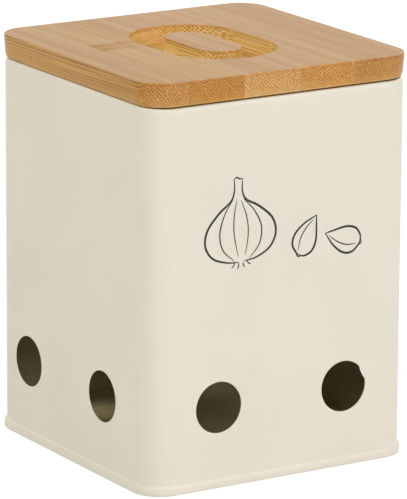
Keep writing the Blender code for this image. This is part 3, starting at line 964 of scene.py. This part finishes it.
def stadium_ring(radius, angles):
    """Where the ray at each angle meets two half circles of that radius joined by straight sides along Y.

    The ray meets the straight side where |radius * tan a| is at most half the straight. Else it meets the end
    circle, at s * straight/2 + sqrt(radius^2 - (c * straight/2)^2) along it, with c and s the sizes of cos a
    and sin a.
    """
    half = GRIP_STRAIGHT / 2
    c, s = np.cos(angles), np.sin(angles)
    reach = half * np.abs(s) + np.sqrt(np.maximum(radius**2 - (half * c) ** 2, 0))
    side = np.divide(radius, np.abs(c), out=np.full_like(c, np.inf), where=np.abs(c) > 1e-9)
    on_side = side * np.abs(s) <= half
    reach = np.where(on_side, side, reach)
    return np.stack([reach * c, reach * s], axis=1)


def even_square(half, corner):
    """A rounded square of many points, close together at its corners, with its outward directions."""
    straight = np.linspace(-1, 1, BOARD_POINTS // 4 - CORNER_STEPS + 1)[1:-1] * (half - corner)
    return square_path(half, corner, [straight] * 4)


def lid_rings():
    """The board as closed rings, from the middle of its underside to the middle of the grip.

    They run round the board's edge and over its top, down the sunk ring's outer wall, across its floor and up
    the grip's wall. Every rounding is a quarter circle, and the lower edge leans in by a quarter ellipse.
    """
    path = even_square(LID_WIDTH / 2, LID_CORNER)
    angles = np.arctan2(path[0][:, 1], path[0][:, 0])
    turn = TURN / 4 * np.linspace(0, 1, BEND_STEPS + 1)[::-1]
    foot = [-LID_LEAN - LID_FOOT_WIDTH * (1 - np.cos(turn)), LID_FOOT_HEIGHT * (1 - np.sin(turn))]
    edge_centre = (-LID_EDGE_ROUND, LID_THICKNESS - LID_EDGE_ROUND)
    edge = arc(edge_centre, LID_EDGE_ROUND, 0, TURN / 4, BEND_STEPS)
    outside = carried(path, np.concatenate([np.stack(foot, axis=1), edge]))

    outer = GRIP_WIDTH / 2 + GROOVE_WIDTH
    inner = GRIP_WIDTH / 2
    top = LID_THICKNESS
    floor = LID_THICKNESS - GROOVE_DEPTH
    bend = TURN / 4 * np.linspace(0, 1, ROUND_STEPS + 1)
    falling, rising = 1 - np.sin(bend), 1 - np.cos(bend)
    rim = np.stack([outer + RIM_ROUND * falling, top - RIM_ROUND * rising], axis=1)
    dip = np.stack([outer - GROOVE_FILLET * rising, floor + GROOVE_FILLET * falling], axis=1)
    rise = np.stack([inner + GROOVE_FILLET * falling, floor + GROOVE_FILLET * rising], axis=1)
    crest = np.stack([inner - RIM_ROUND * rising, top - RIM_ROUND * falling], axis=1)
    section = np.concatenate([rim, dip, rise, crest])
    groove = np.concatenate([level(stadium_ring(radius, angles), height) for radius, height in section])
    face = outside[-1] + np.array(FACE_SHARES)[:, None, None] * (groove[0] - outside[-1])
    below, grip = shrunk(outside[0], UNDER_SHARES), shrunk(groove[-1], GRIP_SHARES)
    return np.concatenate([below, outside, face, groove, grip])


def plug_rings():
    """The plug board as closed rings: over its top, down past the seal's groove, in under its soft edge."""
    path = even_square(PLUG_WIDTH / 2, PLUG_CORNER)
    groove_top = -SEAL_ABOVE
    groove_foot = groove_top - SEAL_WIDTH
    foot_centre = (-PLUG_EDGE_ROUND, -PLUG_THICKNESS + PLUG_EDGE_ROUND)
    foot = arc(foot_centre, PLUG_EDGE_ROUND, 0, -TURN / 4, BEND_STEPS)
    side = [(-PLUG_CHAMFER, -GLUE_LINE), (0, -GLUE_LINE - PLUG_CHAMFER), (0, groove_top)]
    side += [(-SEAL_DEPTH, groove_top), (-SEAL_DEPTH, groove_foot), (0, groove_foot)]
    rings = carried(path, np.concatenate([np.array(side), foot]))[::-1]
    below, above = shrunk(rings[0], UNDER_SHARES), shrunk(rings[-1], UNDER_SHARES[::-1])
    return np.concatenate([below, rings, above])


def closed_mesh(rings):
    """Joins rings into one closed surface, and lifts it to the lid's seat."""
    made = bmesh.new()
    mesh = bpy.data.meshes.new("rings")
    points = rings.reshape(-1, 3) + np.array([0, 0, SEAT_HEIGHT])
    mesh.from_pydata(points, [], ring_faces(*rings.shape[:2]).tolist())
    made.from_mesh(mesh)
    bpy.data.meshes.remove(mesh)
    bmesh.ops.remove_doubles(made, verts=made.verts, dist=BOARD_MERGE)
    bmesh.ops.recalc_face_normals(made, faces=made.faces)
    return made


def slice_between(whole, axis, low, high, name):
    """The part of a closed surface between two planes square to an axis, with a flat cap on each cut."""
    part = whole.copy()
    for limit, sign in ((low, -1), (high, 1)):
        if limit is None:
            continue
        everything = part.verts[:] + part.edges[:] + part.faces[:]
        direction = Vector([sign if index == axis else 0 for index in range(3)])
        at = Vector([limit if index == axis else 0 for index in range(3)])
        cut = {"plane_co": at, "plane_no": direction, "clear_outer": True, "dist": CUT_TOLERANCE}
        bmesh.ops.bisect_plane(part, geom=everything, **cut)
        rims = [line for line in part.edges if line.is_boundary]
        bmesh.ops.holes_fill(part, edges=rims, sides=0)
    bmesh.ops.recalc_face_normals(part, faces=part.faces)
    mesh = bpy.data.meshes.new(name)
    part.to_mesh(mesh)
    part.free()
    return mesh


def make_lid():
    """The lid's board cut along X into its five strips, and the plug board cut along Y into its own."""
    whole = closed_mesh(lid_rings())
    joints = [share * LID_WIDTH / 2 for share in LID_JOINT_SHARES]
    lows = [None] + [joint + JOINT_GAP / 2 for joint in joints]
    highs = [joint - JOINT_GAP / 2 for joint in joints] + [None]
    for number, (low, high, finish) in enumerate(zip(lows, highs, lid_bamboo), start=1):
        name = f"lid_board_{number}"
        mesh = slice_between(whole, 0, low, high, name)
        place_piece(name, mesh, [finish], "lid", f"lid_strip_{number}")
    whole.free()

    whole = closed_mesh(plug_rings())
    pitch = PLUG_WIDTH / PLUG_STRIPS
    for number, finish in enumerate(plug_bamboo, start=1):
        near = -PLUG_WIDTH / 2 + pitch * (number - 1)
        low = None if number == 1 else near + JOINT_GAP / 2
        high = None if number == PLUG_STRIPS else near + pitch - JOINT_GAP / 2
        name = f"plug_board_{number}"
        mesh = slice_between(whole, 1, low, high, name)
        place_piece(name, mesh, [finish], "lid", f"plug_strip_{number}")
    whole.free()


def make_seal():
    """The seal: a flat band with two thin fins that reach out and sweep upward, their tips rounded."""
    inner = -SEAL_DEPTH + SEAL_CLEARANCE
    tip = PLUG_CLEARANCE - FIN_CLEARANCE - FIN_THICKNESS / 2
    top = -SEAL_ABOVE - SEAL_CLEARANCE
    foot = -SEAL_ABOVE - SEAL_WIDTH + SEAL_CLEARANCE
    outline = [np.array([[inner, top]])]
    for root in (top, foot + FIN_THICKNESS):
        centre = (tip, root + FIN_SWEEP - FIN_THICKNESS / 2)
        outline += [np.array([[0, root]]), arc(centre, FIN_THICKNESS / 2, TURN / 4, -TURN / 2, BEND_STEPS)]
        outline += [np.array([[0, root - FIN_THICKNESS]])]
    outline += [np.array([[inner, foot]]), np.array([[inner, top]])]
    path = square_path(PLUG_WIDTH / 2, PLUG_CORNER, [WALL_STOPS] * 4)
    rings = carried(path, np.concatenate(outline)) + np.array([0, 0, SEAT_HEIGHT])
    faces = ring_faces(*rings.shape[:2])
    make_piece("seal_band", rings, faces, [pale_silicone], "lid", "seal_ring", angle=50)


make_lid()
make_seal()


# Line drawing on the front


def smooth_line(knots):
    """A curve through the knots, each stretch a cubic whose slope at a knot is half its neighbours' gap."""
    knots = np.array(knots, float)
    before = np.concatenate([2 * knots[:1] - knots[1:2], knots[:-1]])
    after = np.concatenate([knots[1:], 2 * knots[-1:] - knots[-2:-1]])
    slope = (after - before) / 2
    t = np.linspace(0, 1, STROKE_STEPS, endpoint=False)[None, :, None]
    near, far = knots[:-1, None], knots[1:, None]
    near_slope, far_slope = slope[:-1, None], slope[1:, None]
    line = (2 * t**3 - 3 * t**2 + 1) * near + (t**3 - 2 * t**2 + t) * near_slope
    line = line + (3 * t**2 - 2 * t**3) * far + (t**3 - t**2) * far_slope
    return np.concatenate([line.reshape(-1, 2), knots[-1:]])


def pen_stroke(knots, width, turn, centre, size):
    """A ribbon along a smooth line, at the share t of it as wide as width * (0.35 + 0.65 * sin(pi t)^0.6)."""
    line = smooth_line(knots) * size
    spin = np.array([[math.cos(turn), math.sin(turn)], [-math.sin(turn), math.cos(turn)]])
    line = line @ spin + np.array(centre)
    step = np.gradient(line, axis=0)
    side = np.stack([-step[:, 1], step[:, 0]], axis=1) / np.linalg.norm(step, axis=1)[:, None]
    share = np.linspace(0, 1, len(line))
    half = width / 2 * (0.35 + 0.65 * np.sin(math.pi * share) ** 0.6)
    return np.stack([line - side * half[:, None], line + side * half[:, None]], axis=1)


# Pen strokes, each its knots and its width in millimetres
BULB_LEFT = ((-1.7, 20.5), (-1.9, 16), (-3.6, 12.4), (-9, 8.6), (-14.3, 3.0))
BULB_LEFT += ((-15.6, -3), (-12.6, -8.3), (-6.4, -11), (-1.2, -11.7))
BULB_RIGHT = ((1.9, 20.1), (1.7, 15.8), (3.3, 12.2), (8.6, 8.9), (14.5, 3.3))
BULB_RIGHT += ((15.9, -2.8), (13, -8.1), (7, -11), (1.4, -11.6))
BULB = (
    (BULB_LEFT, 0.95),
    (BULB_RIGHT, 0.95),
    (((-2.1, 20.3), (-0.8, 21.4), (0.8, 20.6), (2.2, 20.6)), 0.6),
    (((-2.6, 13.0), (-6.6, 7.6), (-9.0, 0.5), (-7.8, -6), (-3.2, -10.8)), 0.6),
    (((2.2, 12.6), (6.8, 7.2), (9.6, 0.6), (8.4, -6), (3.8, -10.9)), 0.6),
    (((-0.8, 13.2), (-2.4, 6), (-2.6, -1), (-1.2, -9.6)), 0.5),
    (((0.9, 12.4), (3.2, 5.5), (3.6, -1.5), (1.9, -9.4)), 0.5),
    (((-2.8, -11.5), (-3.3, -12.6), (-4.4, -13.6)), 0.5),
    (((-1.0, -11.9), (-1.2, -13.2), (-1.9, -14.3)), 0.5),
    (((0.9, -11.9), (1.0, -13.1), (1.6, -14.1)), 0.5),
    (((2.6, -11.5), (3.1, -12.6), (4.3, -13.4)), 0.5),
)
CLOVE = (
    (((0.2, 9.4), (-3.6, 4.2), (-5.6, -1.2), (-4.6, -5.6), (-0.9, -8.0), (0.6, -8.1)), 0.9),
    (((0.1, 9.5), (2.4, 5.4), (4.9, 0.4), (5.3, -4.2), (3.0, -7.4), (0.2, -8.2)), 0.9),
    (((-0.3, 7.4), (-1.9, 2.6), (-2.2, -2.2), (-0.8, -6.6)), 0.5),
    (((-1.1, -8.3), (0.2, -8.9), (1.5, -8.2)), 0.5),
)

# Each figure's strokes, turn, middle in millimetres, and size
FIGURES = (
    (BULB, 0.05, (-19.5, 99.5), 1.0),
    (CLOVE, -0.5, (10.5, 94.0), 0.95),
    (CLOVE, 1.25, (27.5, 91.0), 0.95),
)
INK_STAND_OFF = 0.02 * MM
INK_LAYER = 0.0008 * MM


def make_drawing():
    """A pen drawing of a bulb and two cloves, as flat ribbons a hair's breadth off the front wall."""
    strokes = [pen_stroke(*stroke, *place) for figure, *place in FIGURES for stroke in figure]
    points, faces, first = [], [], 0
    for layer, stroke in enumerate(strokes):
        out = -TIN_WIDTH / 2 - INK_STAND_OFF - INK_LAYER * layer
        flat = stroke.reshape(-1, 2) * MM
        points.append(np.stack([flat[:, 0], np.full(len(flat), out), flat[:, 1]], axis=1))
        start = first + 2 * np.arange(len(stroke) - 1)
        faces.append(np.stack([start, start + 2, start + 3, start + 1], axis=1))
        first += len(flat)
    mesh = bpy.data.meshes.new("front_drawing")
    mesh.from_pydata(np.concatenate(points), [], np.concatenate(faces).tolist())
    normal = np.zeros(len(mesh.polygons) * 3)
    mesh.polygons.foreach_get("normal", normal)
    if normal.reshape(-1, 3)[:, 1].mean() > 0:
        mesh.flip_normals()
    place_piece("front_drawing", mesh, [black_ink], "tin")


make_drawing()


# Floor, light and camera


def white_where_seen(tree, plain, white):
    """Mixes in the white shader for rays from the camera and for mirror and glass rays."""
    rays = node(tree, "ShaderNodeLightPath").outputs
    seen = calc(tree, "MAXIMUM", rays["Is Camera Ray"], rays["Is Glossy Ray"])
    seen = calc(tree, "MAXIMUM", seen, rays["Is Transmission Ray"])
    return node(tree, "ShaderNodeMixShader", {0: seen, 1: plain, 2: white}).outputs[0]


def make_floor():
    """A pale floor, seen as white with the tin's shadow on it, that glows a little more far from the tin."""
    mesh = bpy.data.meshes.new("floor")
    half = FLOOR_HALF
    corners = [(-half, -half, 0), (half, -half, 0), (half, half, 0), (-half, half, 0)]
    mesh.from_pydata(corners, [], [(0, 1, 2, 3)])
    material = bpy.data.materials.new("pale_floor")
    material.use_nodes = True
    tree = material.node_tree
    tree.nodes.clear()
    plain = node(tree, "ShaderNodeBsdfDiffuse", {"Color": FLOOR_GREY}).outputs[0]
    away = vector_calc(tree, "LENGTH", node(tree, "ShaderNodeTexCoord").outputs["Object"])["Value"]
    glow = ramp(tree, away, *FLOOR_GLOW_REACH, *FLOOR_GLOW)
    bright = node(tree, "ShaderNodeEmission", {"Color": WHITE, "Strength": glow}).outputs[0]
    lit = node(tree, "ShaderNodeBsdfDiffuse", {"Color": FLOOR_LIT}).outputs[0]
    white = node(tree, "ShaderNodeAddShader", {0: bright, 1: lit}).outputs[0]
    node(tree, "ShaderNodeOutputMaterial", {"Surface": white_where_seen(tree, plain, white)})
    mesh.materials.append(material)
    floor = bpy.data.objects.new("floor", mesh)
    bpy.context.scene.collection.objects.link(floor)


def make_world():
    """Even light from all round, seen as white."""
    world = bpy.data.worlds.new("studio")
    bpy.context.scene.world = world
    world.use_nodes = True
    tree = world.node_tree
    tree.nodes.clear()
    plain = node(tree, "ShaderNodeBackground", {"Color": WHITE, "Strength": WORLD_LEVEL}).outputs[0]
    white = node(tree, "ShaderNodeBackground", {"Color": WHITE, "Strength": 1.0}).outputs[0]
    node(tree, "ShaderNodeOutputWorld", {"Surface": white_where_seen(tree, plain, white)})


def soft_box(name, azimuth, elevation, size, share, colour):
    """A square lamp aimed at the tin. Its share is the part of full light that it gives a face turned to it.

    The azimuth runs from the front, positive towards the tin's right.
    """
    across, up = math.radians(azimuth), math.radians(elevation)
    ahead = Vector((math.sin(across) * math.cos(up), -math.cos(across) * math.cos(up), math.sin(up)))
    light = bpy.data.lights.new(name, "AREA")
    light.shape = "SQUARE"
    light.size = size
    light.color = colour
    light.energy = share * (math.pi * LAMP_DISTANCE) ** 2
    lamp = bpy.data.objects.new(name, light)
    bpy.context.scene.collection.objects.link(lamp)
    lamp.location = Vector(LAMP_AIM) + LAMP_DISTANCE * ahead
    lamp.rotation_euler = (-ahead).to_track_quat("-Z", "Y").to_euler()


def make_camera():
    """A camera at its place whose view runs along yaw and pitch, turned about that line by the roll."""
    yaw, pitch, roll = CAMERA_YAW, CAMERA_PITCH, CAMERA_ROLL
    ahead = Vector((math.sin(yaw) * math.cos(pitch), math.cos(yaw) * math.cos(pitch), -math.sin(pitch)))
    right = ahead.cross(Vector((0, 0, 1))).normalized()
    up = right.cross(ahead)
    turned_right = math.cos(roll) * right + math.sin(roll) * up
    turned_up = -math.sin(roll) * right + math.cos(roll) * up
    turn = Matrix((turned_right, turned_up, -ahead)).transposed()
    data = bpy.data.cameras.new("camera")
    data.lens = CAMERA_LENS
    data.sensor_width = CAMERA_SENSOR
    data.clip_end = CAMERA_REACH
    camera = bpy.data.objects.new("camera", data)
    bpy.context.scene.collection.objects.link(camera)
    camera.matrix_world = Matrix.Translation(CAMERA_PLACE) @ turn.to_4x4()
    bpy.context.scene.camera = camera


make_floor()
make_world()
for lamp in LAMPS:
    soft_box(*lamp)
make_camera()
bpy.context.scene.view_settings.view_transform = "Standard"
